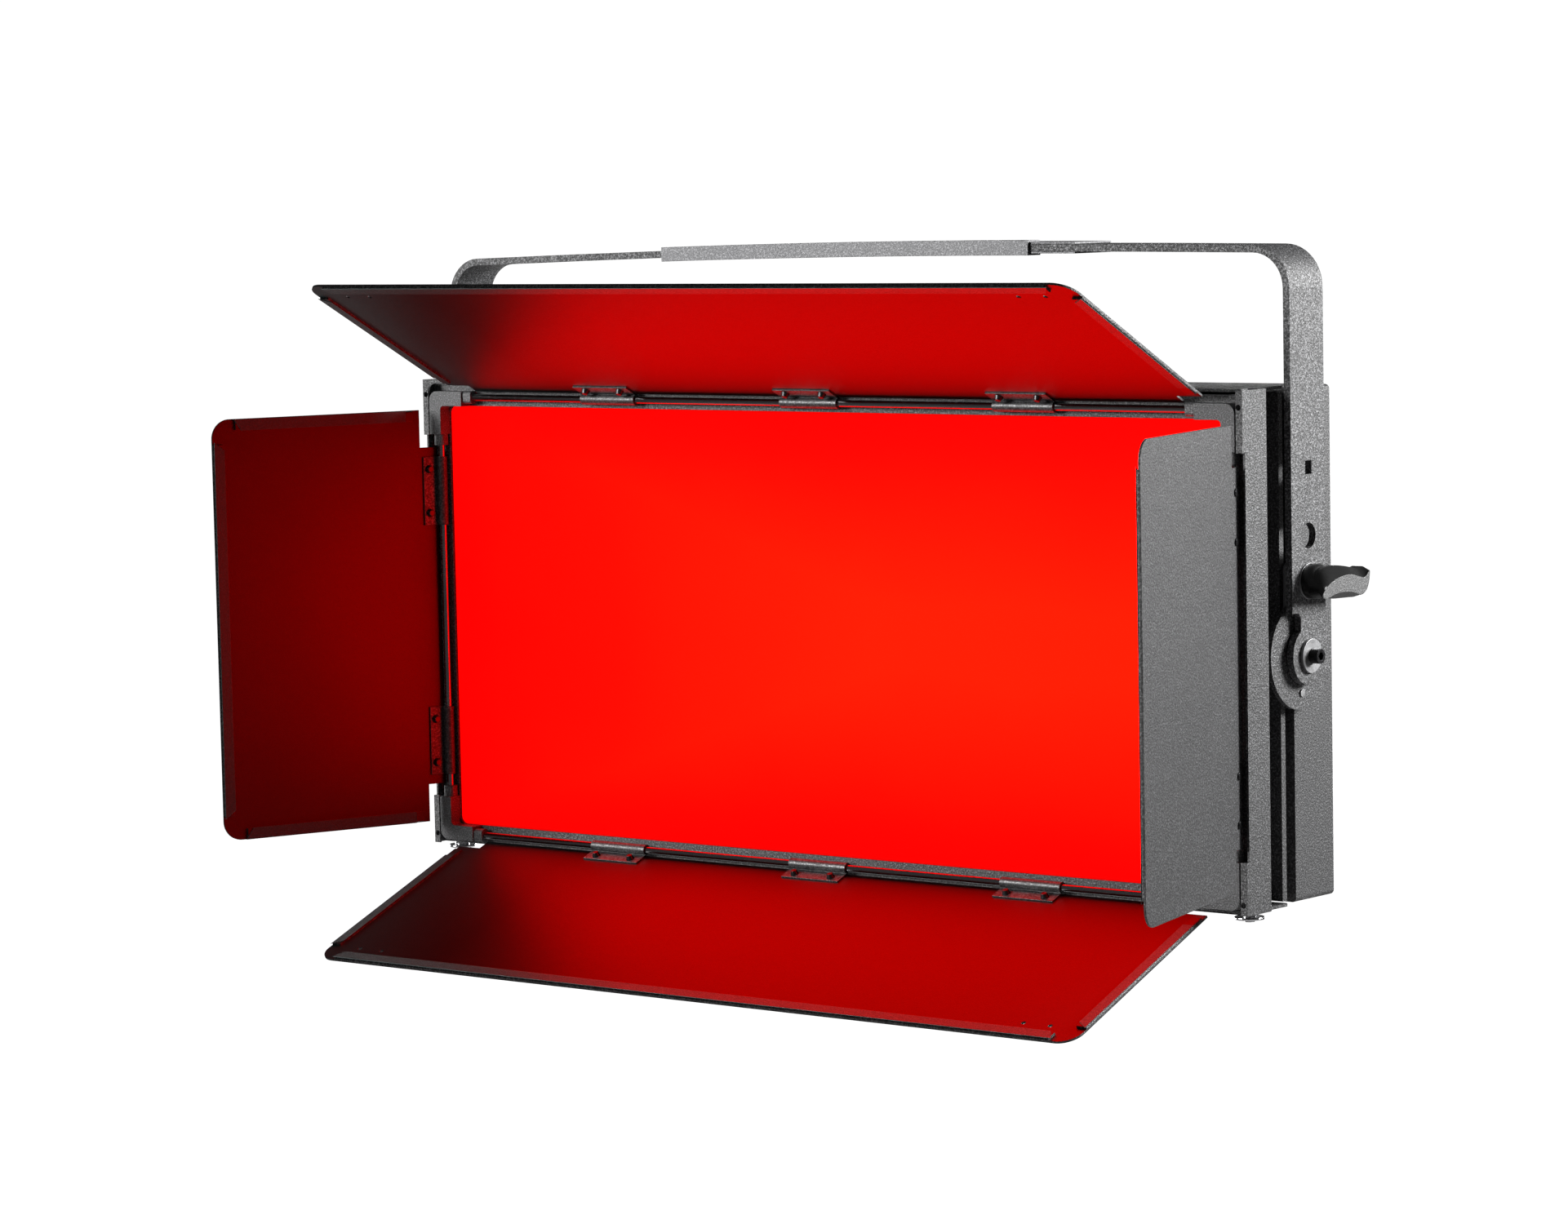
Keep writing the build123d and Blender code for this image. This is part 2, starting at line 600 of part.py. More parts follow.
# ---- body shell ---------------------------------------------------------------------------------
with BuildPart() as housing:
    plate(facing(BODY_END), 2 * WALL_X, BODY_H, BODY_END - BODY_FRONT)
    plate(facing(BODY_FRONT + 2), 688, BODY_H, 2)
    plate(facing(RIB_Y + RIB_T), 2 * BODY_X, BODY_H, RIB_T)
    plate(facing(90), 2 * WALL_X - 4, BODY_H - 4, 70, mode=Mode.SUBTRACT)
save(housing, "housing")

with BuildPart() as end_plates:
    for low in (BODY_TOP - 2, -BODY_TOP):
        plate(level(low), 2 * BODY_X, 50.6, 2, centre=(0, BODY_FRONT + 25.3), corner=2)
save(end_plates, "end_plates")

PANEL_X = 150.0
PANEL_Z = -110.0
PANEL_W = 250.0
PANEL_H = 66.0
INLET_X = -120.0
OUTLET_X = -166.0
XLR_X = (-60.0, -20.0)
SOCKET_Z = -110.0
BUTTON_X = (158.0, 176.0, 194.0, 212.0)
BUTTON_Z = -122.0
ENCODER = (250.0, -110.0)
SWITCH = (70.0, -110.0)

with BuildPart() as rear_cover:
    plate(facing(COVER_BACK), 2 * BODY_X, 2 * COVER_Z, COVER_BACK - COVER_Y)
    fillet(rear_cover.edges().filter_by(Axis.Y), radius=3)
    fillet(rear_cover.faces().sort_by(Axis.Y)[-1].edges(), radius=2)
    inner = (2 * (BODY_X - COVER_T), 2 * (COVER_Z - COVER_T))
    inner_depth = COVER_BACK - COVER_Y - 2 * COVER_T
    plate(facing(COVER_BACK - COVER_T), *inner, inner_depth, corner=2, mode=Mode.SUBTRACT)
    plate(facing(COVER_Y + 3), 2 * WALL_X - 4, 334, 4, mode=Mode.SUBTRACT)
    for vent_z in (118, 62):
        with BuildSketch(facing(COVER_BACK + 1)) as vents:
            with Locations((0, vent_z)):
                with GridLocations(16, 0, 34, 1):
                    SlotOverall(42, 4, rotation=90)
        extrude(vents.sketch, amount=4, mode=Mode.SUBTRACT)
    window = (PANEL_W - 16, PANEL_H - 16)
    plate(facing(COVER_BACK + 1), *window, 4, centre=(PANEL_X, PANEL_Z), mode=Mode.SUBTRACT)
    for socket_x in (INLET_X, OUTLET_X, *XLR_X):
        disc(facing(COVER_BACK + 1), 12.2, 4, centre=(socket_x, SOCKET_Z), mode=Mode.SUBTRACT)
save(rear_cover, "rear_cover")

with BuildPart() as rear_screws:
    for screw_x in (-325, -110, 110, 325):
        for screw_z in (-158, 158):
            disc(facing(COVER_BACK + 1.6), 3.4, 1.6, centre=(screw_x, screw_z))
save(rear_screws, "rear_screws")

# ---- rear controls and sockets ------------------------------------------------------------------
PANEL_BACK = COVER_BACK + 2
with BuildPart() as control_panel:
    plate(facing(PANEL_BACK), PANEL_W, PANEL_H, 2, centre=(PANEL_X, PANEL_Z), corner=4)
    for button_x in BUTTON_X:
        disc(facing(PANEL_BACK + 1), 4.6, 4, centre=(button_x, BUTTON_Z), mode=Mode.SUBTRACT)
    disc(facing(PANEL_BACK + 1), 3 + FIT, 4, centre=ENCODER, mode=Mode.SUBTRACT)
    plate(facing(PANEL_BACK + 1), 20, 28, 4, centre=SWITCH, mode=Mode.SUBTRACT)
    plate(facing(PANEL_BACK + 1), 60, 26, 4, centre=(185, -98), mode=Mode.SUBTRACT)
save(control_panel, "control_panel")

with BuildPart() as display:
    plate(facing(PANEL_BACK - 0.2), 59.6, 25.6, 2.6, centre=(185, -98))
save(display, "display")

with BuildPart() as control_board:
    plate(facing(131.0), 210, 44, 1.6, centre=(165, -110))
    for button_x in BUTTON_X:
        plate(facing(134.0), 6, 6, 3, centre=(button_x, BUTTON_Z))
save(control_board, "control_board")

for number, button_x in enumerate(BUTTON_X, start=1):
    with BuildPart() as button:
        disc(facing(PANEL_BACK + 2.2), 4.2, 5, centre=(button_x, BUTTON_Z))
        fillet(button.edges().sort_by(Axis.Y)[-1:], radius=0.8)
        disc(facing(PANEL_BACK - 2.4), 5.4, 1.2, centre=(button_x, BUTTON_Z))
    save(button, f"button_{number}")

with BuildPart() as encoder_knob:
    disc(facing(PANEL_BACK + 14), 9, 13.6, centre=ENCODER)
    fillet(encoder_knob.edges().sort_by(Axis.Y)[-1:], radius=1.2)
    with BuildSketch(facing(PANEL_BACK + 12)) as flutes:
        with Locations(ENCODER):
            with PolarLocations(9.3, 16):
                Circle(0.9)
    extrude(flutes.sketch, amount=10, mode=Mode.SUBTRACT)
    disc(facing(PANEL_BACK + 1), 3, 7, centre=ENCODER)
save(encoder_knob, "encoder_knob")

with BuildPart() as power_switch:
    with BuildSketch(side(SWITCH[0] - 7)) as rocker:
        with BuildLine():
            Polyline(
                (PANEL_BACK - 4, SWITCH[1] - 10), (PANEL_BACK + 1.6, SWITCH[1] - 10.4),
                (PANEL_BACK + 0.6, SWITCH[1]), (PANEL_BACK + 3.4, SWITCH[1] + 10.4),
                (PANEL_BACK - 4, SWITCH[1] + 10), close=True,
            )
        make_face()
    extrude(rocker.sketch, amount=14)
save(power_switch, "power_switch")


def sockets(places, bore_r, depth):
    """Round panel sockets, each with a square flange."""
    with BuildPart() as bodies:
        for place in places:
            plate(facing(PANEL_BACK + 0.5), 27, 31, 2.5, centre=(place, SOCKET_Z), corner=3)
            disc(facing(PANEL_BACK + 4), 12, depth, centre=(place, SOCKET_Z))
            disc(facing(PANEL_BACK + 5), bore_r, depth - 3, centre=(place, SOCKET_Z), mode=Mode.SUBTRACT)
            for hand in (-1, 1):
                hole_at = (place + hand * 9.5, SOCKET_Z + hand * 12)
                disc(facing(PANEL_BACK + 1), 1.6, 4, centre=hole_at, mode=Mode.SUBTRACT)
    return bodies


save(sockets((INLET_X, OUTLET_X), 9.5, 26), "power_sockets")
save(sockets(XLR_X, 9.0, 24), "data_sockets")

with BuildPart() as socket_pins:
    for xlr_x in XLR_X:
        with BuildSketch(facing(PANEL_BACK - 4)) as pins:
            with Locations((xlr_x, SOCKET_Z)):
                with PolarLocations(5, 5):
                    Circle(1.1)
        extrude(pins.sketch, amount=12)
    for power_x in (INLET_X, OUTLET_X):
        with BuildSketch(facing(PANEL_BACK - 5)) as blades:
            with Locations((power_x, SOCKET_Z)):
                with PolarLocations(5, 3):
                    Rectangle(1.6, 4)
        extrude(blades.sketch, amount=13)
save(socket_pins, "socket_pins")

EYE = (0.0, 152.0)
with BuildPart() as safety_eye:
    plate(facing(COVER_BACK + 3), 44, 20, 3, centre=EYE, corner=4)
    plate(side(-1.5), 22, 20, 3, centre=(COVER_BACK + 12, EYE[1]), corner=4)
    disc(side(-3), 5.5, 6, centre=(COVER_BACK + 13, EYE[1]), mode=Mode.SUBTRACT)
save(safety_eye, "safety_eye")

# ---- pivots -------------------------------------------------------------------------------------
pivot_centre = (PIVOT_Y, PIVOT_Z)

with BuildPart() as pivot_boss_right:
    disc(side(BODY_X), 23, 4.9, centre=pivot_centre)
    plate(side(WALL_X), 10.2, 40, BODY_X - WALL_X, centre=(84.7, PIVOT_Z))
    disc(side(BODY_X), PIVOT_R, 361.5 - BODY_X, centre=pivot_centre)
    with BuildSketch(side(357.5)) as socket_hex:
        with Locations(pivot_centre):
            RegularPolygon(2.9, 6)
    extrude(socket_hex.sketch, amount=6, mode=Mode.SUBTRACT)
save(pivot_boss_right, "pivot_boss_right")

with BuildPart() as friction_disc:
    ring(side(342.9), 36.2, PIVOT_R + FIT, 3.1, centre=pivot_centre)
save(friction_disc, "friction_disc")

with BuildPart() as friction_pad:
    ring(side(346.0), 17.5, PIVOT_R + FIT, 1.2, centre=pivot_centre)
save(friction_pad, "friction_pad")

LEFT_ARM_IN = -387.0
LEFT_ARM_OUT = -392.0
with BuildPart() as pivot_block_left:
    disc(side(-BODY_X - 5), 30, 5, centre=pivot_centre)
    with BuildSketch(side(-BODY_X - 5)) as neck_root:
        with Locations(pivot_centre):
            Circle(24)
    with BuildSketch(side(LEFT_ARM_IN + 0.3)) as neck_end:
        with Locations(pivot_centre):
            Circle(18)
    loft([neck_end.sketch, neck_root.sketch])
    plate(side(-BODY_X), 10.2, 40, BODY_X - WALL_X, centre=(84.7, PIVOT_Z))
    disc(side(LEFT_ARM_OUT - 9), PIVOT_R, 40, centre=pivot_centre)
    with BuildSketch(side(LEFT_ARM_OUT - 10)) as socket_hex:
        with Locations(pivot_centre):
            RegularPolygon(2.9, 6)
    extrude(socket_hex.sketch, amount=5, mode=Mode.SUBTRACT)
save(pivot_block_left, "pivot_block_left")

with BuildPart() as pivot_hardware:
    ring(side(ARM_OUT + 0.3), 11.5, PIVOT_R + FIT, 2.2, centre=pivot_centre)
    ring(side(LEFT_ARM_OUT - 2.5), 11.5, PIVOT_R + FIT, 2.2, centre=pivot_centre)
    disc(side(346.0), 2.6, 1.1, centre=(PIVOT_Y, PIVOT_Z - 25))
save(pivot_hardware, "pivot_hardware")
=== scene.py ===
"""The looks of the LED panel light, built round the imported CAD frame.
Metres, +Z up, the light faces -Y."""
import json
from math import cos, pi, sin

import bmesh
import bpy
from mathutils import Matrix, Vector

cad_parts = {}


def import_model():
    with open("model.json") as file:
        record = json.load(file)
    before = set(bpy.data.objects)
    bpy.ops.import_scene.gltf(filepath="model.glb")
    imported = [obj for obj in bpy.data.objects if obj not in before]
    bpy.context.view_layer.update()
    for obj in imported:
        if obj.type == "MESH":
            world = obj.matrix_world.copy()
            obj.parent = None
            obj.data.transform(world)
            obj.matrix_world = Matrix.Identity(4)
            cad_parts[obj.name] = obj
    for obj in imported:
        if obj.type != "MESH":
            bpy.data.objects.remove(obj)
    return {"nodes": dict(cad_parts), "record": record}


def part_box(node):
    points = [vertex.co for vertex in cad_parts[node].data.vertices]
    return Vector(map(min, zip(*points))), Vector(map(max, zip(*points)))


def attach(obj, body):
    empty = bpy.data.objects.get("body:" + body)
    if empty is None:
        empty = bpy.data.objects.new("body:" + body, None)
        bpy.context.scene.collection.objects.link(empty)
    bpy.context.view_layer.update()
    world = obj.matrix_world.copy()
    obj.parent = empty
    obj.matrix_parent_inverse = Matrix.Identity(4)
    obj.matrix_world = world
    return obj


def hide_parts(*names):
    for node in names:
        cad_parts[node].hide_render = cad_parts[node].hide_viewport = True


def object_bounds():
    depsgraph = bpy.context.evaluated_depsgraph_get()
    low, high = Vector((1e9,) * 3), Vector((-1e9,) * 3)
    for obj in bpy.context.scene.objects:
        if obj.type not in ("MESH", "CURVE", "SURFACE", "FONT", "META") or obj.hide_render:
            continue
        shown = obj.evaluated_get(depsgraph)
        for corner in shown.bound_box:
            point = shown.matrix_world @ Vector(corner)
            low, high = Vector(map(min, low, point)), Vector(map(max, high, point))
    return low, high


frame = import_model()
cad_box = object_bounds()
nodes = frame["nodes"]
MM = 0.001
EDGE_R = 0.6 * MM


def box_of(name):
    """Lowest corner, highest corner and middle of a CAD node."""
    low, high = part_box(name)
    return low, high, (low + high) / 2


# ---- materials ----------------------------------------------------------------------------------
class Finish:
    """A node material: the helpers add nodes and return the socket that carries their result."""

    def __init__(self, name):
        self.material = bpy.data.materials.new(name)
        self.material.use_nodes = True
        self.tree = self.material.node_tree
        self.shader = self.tree.nodes["Principled BSDF"]
        self.place = self.add("ShaderNodeTexCoord").outputs["Object"]

    def add(self, kind, **settings):
        node = self.tree.nodes.new(kind)
        for key, value in settings.items():
            setattr(node, key, value)
        return node

    def join(self, source, target):
        self.tree.links.new(source, target)

    def stretched(self, scale):
        mapping = self.add("ShaderNodeMapping")
        mapping.inputs["Scale"].default_value = scale
        self.join(self.place, mapping.inputs["Vector"])
        return mapping.outputs["Vector"]

    def noise(self, scale, detail=2.0, roughness=0.5, place=None):
        node = self.add("ShaderNodeTexNoise")
        node.inputs["Scale"].default_value = scale
        node.inputs["Detail"].default_value = detail
        node.inputs["Roughness"].default_value = roughness
        self.join(place or self.place, node.inputs["Vector"])
        return node.outputs["Fac"]

    def ramp(self, value, stops):
        """Colours along a value: stops are (position, (r, g, b))."""
        node = self.add("ShaderNodeValToRGB")
        points = node.color_ramp.elements
        while len(points) < len(stops):
            points.new(1.0)
        for point, (position, colour) in zip(points, stops):
            point.position = position
            point.color = (*colour, 1.0)
        self.join(value, node.inputs["Fac"])
        return node.outputs["Color"]

    def ranged(self, value, low, high, start=0.0, end=1.0):
        """A value from start to end, carried over to low to high."""
        node = self.add("ShaderNodeMapRange")
        limits = {"From Min": start, "From Max": end, "To Min": low, "To Max": high}
        for key, number in limits.items():
            node.inputs[key].default_value = number
        self.join(value, node.inputs["Value"])
        return node.outputs["Result"]

    def math(self, operation, first, second=0.0):
        node = self.add("ShaderNodeMath", operation=operation)
        for socket, value in zip(node.inputs, (first, second)):
            if isinstance(value, (int, float)):
                socket.default_value = value
            else:
                self.join(value, socket)
        return node.outputs["Value"]

    def mix(self, factor, first, second, blend="MIX"):
        """Two colours mixed; each is a socket or an (r, g, b)."""
        node = self.add("ShaderNodeMix", data_type="RGBA", blend_type=blend)
        sockets = [s for s in node.inputs if s.type == "RGBA"]
        if isinstance(factor, (int, float)):
            node.inputs["Factor"].default_value = factor
        else:
            self.join(factor, node.inputs["Factor"])
        for socket, value in zip(sockets, (first, second)):
            if isinstance(value, tuple):
                socket.default_value = (*value, 1.0)
            else:
                self.join(value, socket)
        return next(s for s in node.outputs if s.type == "RGBA")

    def axis(self, name):
        node = self.add("ShaderNodeSeparateXYZ")
        self.join(self.place, node.inputs["Vector"])
        return node.outputs[name]

    def colour(self, value):
        self.join(value, self.shader.inputs["Base Color"])

    def rough(self, value):
        self.join(value, self.shader.inputs["Roughness"])

    def bump(self, height, strength, distance):
        softened = self.add("ShaderNodeBevel", samples=4)
        softened.inputs["Radius"].default_value = EDGE_R
        node = self.add("ShaderNodeBump")
        self.join(softened.outputs["Normal"], node.inputs["Normal"])
        node.inputs["Strength"].default_value = strength
        node.inputs["Distance"].default_value = distance
        self.join(height, node.inputs["Height"])
        self.join(node.outputs["Normal"], self.shader.inputs["Normal"])

    def fixed(self, **values):
        for key, value in values.items():
            self.shader.inputs[key.replace("_", " ")].default_value = value


def shade(colour, factor):
    """A colour made lighter or darker."""
    return tuple(c * factor for c in colour)


def powder_coat(name, base, grain=780.0, rough=0.5, bump=0.8, depth=1.0, tint=None):
    """Baked powder paint: an orange-peel skin of fine grains with lighter flecks, as strong as
    depth. A tint, where given, is painted light: it multiplies the colour and tints the reflections."""
    finish = Finish(name)
    grains = finish.noise(grain, detail=3.0, roughness=0.6)
    drift = finish.noise(14.0, detail=2.0)
    skin = finish.ramp(
        grains,
        [(0.34, shade(base, 1 - 0.9 * depth)), (0.47, shade(base, 1 - 0.3 * depth)),
         (0.55, shade(base, 1 + 0.6 * depth)), (0.64, shade(base, 1 + 3.5 * depth))],
    )
    patches = finish.ramp(drift, [(0.3, (0.88, 0.88, 0.89)), (0.7, (1.0, 1.0, 1.0))])
    paint = finish.mix(1.0, skin, patches, "MULTIPLY")
    if tint:
        painted_glow = tint(finish)
        paint = finish.mix(1.0, paint, painted_glow, "MULTIPLY")
        # The painted light also colours the reflections.
        finish.join(painted_glow, finish.shader.inputs["Specular Tint"])
    finish.colour(paint)
    finish.rough(finish.ranged(grains, rough + 0.16 * depth, rough - 0.14 * depth, 0.35, 0.65))
    finish.bump(grains, bump, 0.7 * MM)
    return finish


def metal(name, base, rough=0.3, grain_scale=(60.0, 60.0, 60.0), bump=0.06):
    """Bare metal: drawn or turned, with streaks along the unstretched axis."""
    finish = Finish(name)
    finish.fixed(Metallic=1.0)
    streaks = finish.noise(20.0, detail=4.0, place=finish.stretched(grain_scale))
    smudges = finish.noise(45.0, detail=3.0)
    finish.colour(finish.ramp(streaks, [(0.3, shade(base, 0.8)), (0.7, base)]))
    blotches = finish.ranged(smudges, -0.06, 0.08, 0.3, 0.7)
    lines = finish.ranged(streaks, rough - 0.08, rough + 0.1, 0.3, 0.7)
    finish.rough(finish.math("ADD", blotches, lines))
    finish.bump(streaks, bump, 0.05 * MM)
    return finish


def plastic(name, base, rough=0.4, grain=900.0, bump=0.12):
    """Moulded plastic or rubber with a fine spark-eroded grain."""
    finish = Finish(name)
    grains = finish.noise(grain, detail=2.0)
    drift = finish.noise(30.0, detail=3.0)
    finish.colour(finish.ramp(drift, [(0.3, shade(base, 0.85)), (0.7, shade(base, 1.15))]))
    finish.rough(finish.ranged(grains, rough - 0.06, rough + 0.08, 0.3, 0.7))
    finish.bump(grains, bump, 0.12 * MM)
    return finish


GLOW = 7.0
EDGE_START = 0.006
EDGE_END = 0.05
HUE_START = 0.005
HUE_END = 0.22
HUE_WANDER = 0.05
diff_low, diff_high, diff_mid = box_of("diffuser")


def diffuser_sheet():
    """The milky front sheet, lit red: orange-red in the middle and deeper red along its edges."""
    finish = Finish("diffuser_acrylic")
    width = diff_high.x - diff_low.x
    half_h = (diff_high.z - diff_low.z) / 2
    from_left = finish.math("SUBTRACT", finish.axis("X"), diff_low.x)
    from_right = finish.math("SUBTRACT", width, from_left)
    upright = finish.math("SUBTRACT", finish.axis("Z"), diff_mid.z)
    from_end = finish.math("SUBTRACT", half_h, finish.math("ABSOLUTE", upright))
    edge = finish.math("MINIMUM", finish.math("MINIMUM", from_left, from_right), from_end)
    blotch = finish.noise(7.0, detail=2.0)
    wander = finish.math("MULTIPLY", finish.math("SUBTRACT", blotch, 0.5), HUE_WANDER)
    near_left = finish.math("MULTIPLY", from_left, 0.55)
    near_end = finish.math("MULTIPLY", from_end, 1.6)
    reach = finish.math("MINIMUM", near_left, near_end)
    depth = finish.math("ADD", reach, wander)
    tint = finish.ramp(
        finish.ranged(depth, 0.0, 1.0, HUE_START, HUE_END),
        [(0.0, (1.0, 0.0, 0.0)), (0.35, (1.0, 0.0004, 0.0)), (1.0, (1.0, 0.0018, 0.00006))],
    )
    level = finish.ranged(edge, 0.1 * GLOW, GLOW, EDGE_START, EDGE_END)
    finish.join(tint, finish.shader.inputs["Emission Color"])
    finish.join(level, finish.shader.inputs["Emission Strength"])
    finish.colour(finish.ramp(blotch, [(0.3, (0.2, 0.006, 0.004)), (0.7, (0.24, 0.008, 0.005))]))
    finish.fixed(Roughness=0.6, Specular_IOR_Level=0.15)
    return finish


# Fractions of the display's width and height.
GAUGE_ACROSS = (0.12, 0.72)
GAUGE_UP = (0.4, 0.62)
GAUGE_TEETH = 26.0
RULE_UP = 0.25
RULE_HALF = 0.02


def display_screen():
    """The rear display: a dark pane with a lit bar gauge and a rule under it."""
    finish = Finish("display_glass")
    low, high, _ = box_of("display")
    along = finish.ranged(finish.axis("X"), 0.0, 1.0, low.x, high.x)
    up = finish.ranged(finish.axis("Z"), 0.0, 1.0, low.z, high.z)
    in_width, in_height = (
        finish.math(
            "MULTIPLY", finish.math("GREATER_THAN", value, start), finish.math("LESS_THAN", value, end)
        )
        for value, (start, end) in ((along, GAUGE_ACROSS), (up, GAUGE_UP))
    )
    repeat = finish.math("FRACT", finish.math("MULTIPLY", along, GAUGE_TEETH))
    teeth = finish.math("GREATER_THAN", repeat, 0.3)
    gauge = finish.math("MULTIPLY", finish.math("MULTIPLY", in_width, in_height), teeth)
    off_rule = finish.math("ABSOLUTE", finish.math("SUBTRACT", up, RULE_UP))
    rule = finish.math("LESS_THAN", off_rule, RULE_HALF)
    lit = finish.math("MAXIMUM", gauge, finish.math("MULTIPLY", rule, in_width))
    smear = finish.noise(60.0, detail=3.0)
    finish.colour(finish.ramp(smear, [(0.3, (0.008, 0.01, 0.012)), (0.7, (0.012, 0.014, 0.017))]))
    finish.join(finish.ramp(lit, [(0.0, (0.0, 0.0, 0.0)), (1.0, (0.25, 0.6, 1.0))]),
                finish.shader.inputs["Emission Color"])
    finish.fixed(Emission_Strength=0.9)
    finish.rough(finish.ranged(smear, 0.08, 0.2, 0.3, 0.7))
    return finish


PAINT = (0.030, 0.030, 0.031)
FINISHES = {
    "yoke_paint": powder_coat("yoke_paint", shade(PAINT, 1.35)),
    "sleeve_paint": powder_coat("sleeve_paint", shade(PAINT, 5.6), depth=0.3, bump=0.5),
    "frame_paint": powder_coat("frame_paint", PAINT),
    "body_paint": powder_coat("body_paint", shade(PAINT, 0.9)),
    "cover_paint": powder_coat("cover_paint", PAINT, depth=0.75),
    "door_paint": powder_coat("door_paint", shade(PAINT, 0.85), rough=0.45),
    "clip_paint": powder_coat("clip_paint", shade(PAINT, 0.7), rough=0.4, bump=0.15),
    "panel_paint": powder_coat(
        "panel_paint", shade(PAINT, 0.7), grain=2200.0, rough=0.38, bump=0.12, depth=0.4
    ),
    "bracket_plastic": powder_coat(
        "bracket_plastic", shade(PAINT, 1.5), grain=1000.0, rough=0.45, bump=0.7, depth=0.6
    ),
    "handle_plastic": plastic(
        "handle_plastic", (0.009, 0.009, 0.009), rough=0.38, grain=1500.0, bump=0.2
    ),
    "knob_plastic": plastic("knob_plastic", (0.02, 0.02, 0.021), rough=0.38),
    "switch_plastic": plastic("switch_plastic", (0.012, 0.012, 0.013), rough=0.2, bump=0.03),
    "power_plastic": plastic("power_plastic", (0.02, 0.05, 0.22), rough=0.35),
    "data_metal": powder_coat(
        "data_metal", shade(PAINT, 0.6), grain=2600.0, rough=0.35, bump=0.1, depth=0.4
    ),
    "button_rubber": plastic("button_rubber", (0.045, 0.045, 0.047), rough=0.65, grain=1600.0),
    "pad_rubber": plastic("pad_rubber", (0.03, 0.029, 0.028), rough=0.8),
    "display_glass": display_screen(),
    "diffuser_acrylic": diffuser_sheet(),
    "diffuser_rim": plastic("diffuser_rim", (0.6, 0.6, 0.58), rough=0.6),
    "mixing_white": plastic("mixing_white", (0.8, 0.8, 0.78), rough=0.6),
    "board": plastic("board", (0.02, 0.1, 0.04), rough=0.35),
    "emitter": plastic("emitter", (0.8, 0.62, 0.2), rough=0.25),
    "sink_metal": metal("sink_metal", (0.62, 0.62, 0.63), rough=0.4, grain_scale=(1.0, 40.0, 40.0)),
    "chassis_metal": metal(
        "chassis_metal", (0.66, 0.66, 0.67), rough=0.35, grain_scale=(1.0, 60.0, 60.0)
    ),
    "supply_metal": metal(
        "supply_metal", (0.7, 0.7, 0.71), rough=0.35, grain_scale=(60.0, 60.0, 1.0)
    ),
    "rod_steel": metal("rod_steel", (0.3, 0.3, 0.31), rough=0.2, grain_scale=(1.0, 80.0, 80.0)),
    "screw_steel": metal("screw_steel", (0.55, 0.55, 0.56), rough=0.28),
    "shoe_steel": metal("shoe_steel", (0.3, 0.3, 0.31), rough=0.45),
    "washer_steel": metal("washer_steel", (0.3, 0.3, 0.305), rough=0.4),
    "dark_screw": metal("dark_screw", (0.06, 0.06, 0.062), rough=0.35),
    "door_screw": metal("door_screw", (0.05, 0.05, 0.052), rough=0.3),
    "latch_metal": metal("latch_metal", (0.72, 0.72, 0.74), rough=0.14),
    "pin_brass": metal("pin_brass", (0.78, 0.6, 0.28), rough=0.22),
    "eye_steel": powder_coat("eye_steel", PAINT),
    "boss_steel": metal("boss_steel", (0.035, 0.035, 0.037), rough=0.3),
    "disc_steel": powder_coat("disc_steel", shade(PAINT, 1.1), rough=0.45),
    "block_metal": powder_coat("block_metal", shade(PAINT, 0.9), rough=0.42),
}
# Painted light for the long doors' lit faces: the diffuser's glow reddens them for real, and this ramp
# paints more red on top.
LONG_DOOR_GLOW_STOPS = [
    (0.03, (0.6, 1.0, 1.0)), (0.16, (0.45, 0.25, 0.25)),
    (0.35, (1.0, 0.04, 0.04)), (1.0, (1.0, 0.02, 0.02)),
]


def long_door_painted_glow(low_x, high_x):
    """Painted red glow along a long door: a blue-green cast at its left end offsets the real red light
    there, then red where the sheet's real glow falls.
    """
    def tint(finish):
        along = finish.ranged(finish.axis("X"), 0.0, 1.0, low_x, high_x)
        return finish.ramp(along, LONG_DOOR_GLOW_STOPS)
    return tint


def short_door_painted_glow(finish):
    """Painted red glow for the short doors' lit faces, on top of the real red light that only the
    sheet's glow brings there.
    """
    return finish.ramp(finish.noise(9.0), [(0.3, (1.0, 0.05, 0.05)), (0.7, (0.9, 0.06, 0.06))])


slot_of = {row["node"]: row["material_slot"] for row in frame["record"]["subparts"]}
for name, node in nodes.items():
    node.data.materials.clear()
    node.data.materials.append(FINISHES[slot_of[name]].material)


def link(obj):
    bpy.context.scene.collection.objects.link(obj)
    return obj


made_pieces = []


def new_piece(name, mesh, body, finish, smooth=False):
    """A shown piece on a body, with its material."""
    mesh.materials.append(finish.material)
    for polygon in mesh.polygons:
        polygon.use_smooth = smooth
    obj = link(bpy.data.objects.new(name, mesh))
    made_pieces.append(obj)
    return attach(obj, body)


def prism(name, outline, origin, across, upright, out, thick, rim=0.0):
    """A flat piece with an outline in (across, upright), raised along out; rim rounds its edge."""
    mesh = bpy.data.meshes.new(name)
    build = bmesh.new()
    place = [origin + across * x + upright * y for x, y in outline]
    face = build.faces.new([build.verts.new(point) for point in place])
    if face.normal.dot(out) < 0:
        face.normal_flip()
    raised = bmesh.ops.extrude_face_region(build, geom=[face])
    top = [item for item in raised["geom"] if isinstance(item, bmesh.types.BMVert)]
    bmesh.ops.translate(build, vec=out * thick, verts=top)
    bmesh.ops.recalc_face_normals(build, faces=build.faces)
    if rim:
        edges = [e for e in build.edges if all(v in top for v in e.verts)]
        bmesh.ops.bevel(build, geom=edges, offset=rim, segments=2, affect="EDGES", profile=0.5)
    build.to_mesh(mesh)
    build.free()
    return mesh


# ---- front sheet: only its front face glows -----------------------------------------------------
sheet = nodes["diffuser"].data
sheet.materials.append(plastic("diffuser_edge", (0.25, 0.25, 0.25), rough=0.5).material)
for polygon in sheet.polygons:
    if polygon.normal.y > -0.5:
        polygon.material_index = 1
